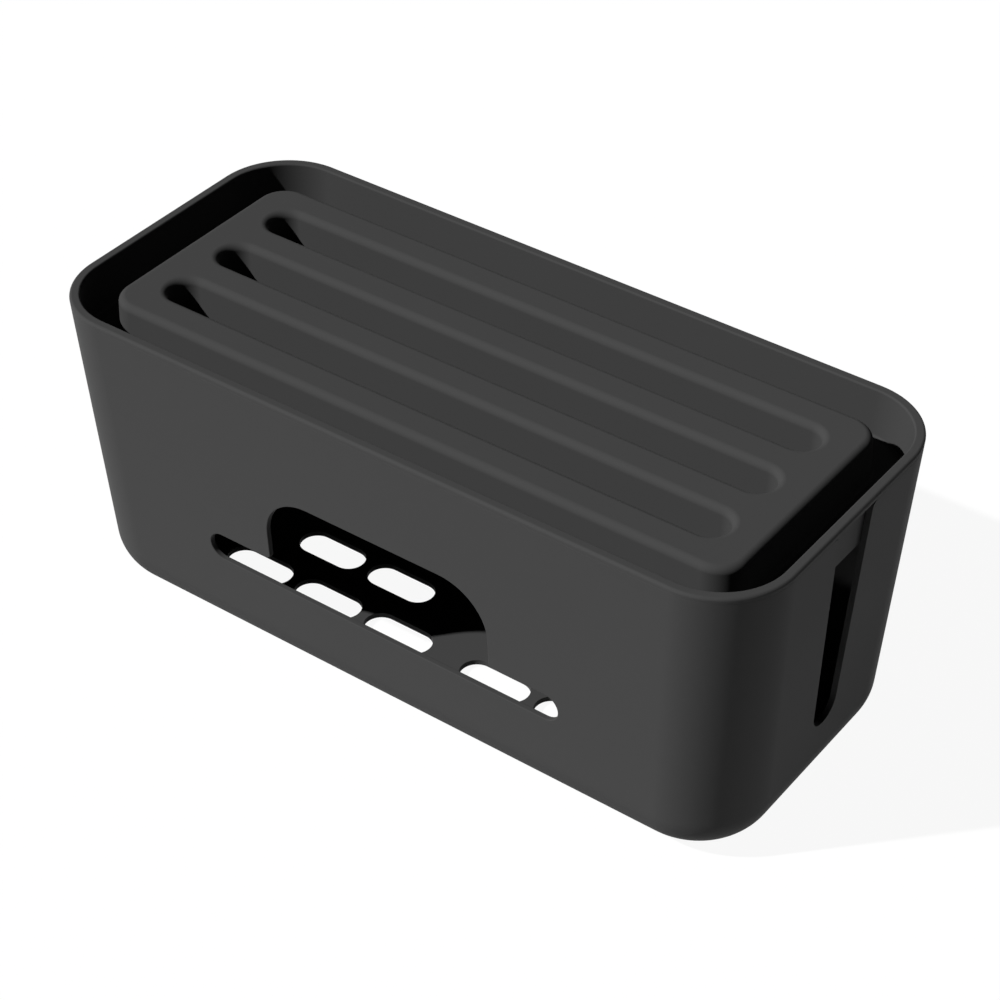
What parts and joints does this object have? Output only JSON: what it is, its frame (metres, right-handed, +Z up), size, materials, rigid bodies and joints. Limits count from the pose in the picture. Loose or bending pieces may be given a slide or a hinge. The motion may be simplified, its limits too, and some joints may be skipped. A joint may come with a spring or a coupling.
{
  "type": "cable management box",
  "caption": "Drafted oblong box that hides a power strip and cords, with a front window, an open-topped slot in each end, a vented floor and a grooved lift-off lid",
  "frame": {"origin": "centre of the footprint, on the surface that the feet stand on", "axes": "+X along the long side, +Y from the windowed front wall to the back wall, +Z up"},
  "size_m": [0.32, 0.142, 0.135],
  "materials": {
    "box_plastic": "fine satin moulded surface, charcoal black",
    "lid_plastic": "fine satin moulded surface, charcoal black",
    "foot_rubber": "soft matt black"
  },
  "bodies": {
    "box": {"box_body": "box_plastic", "foot_front_left": "foot_rubber", "foot_front_right": "foot_rubber", "foot_back_left": "foot_rubber", "foot_back_right": "foot_rubber"},
    "lid": {"lid": "lid_plastic"}
  },
  "joints": [
    {"name": "lid_lift", "type": "slide", "parent": "box", "child": "lid", "axis": [0, 0, 1], "range_m": [0, 0.05]}
  ]
}
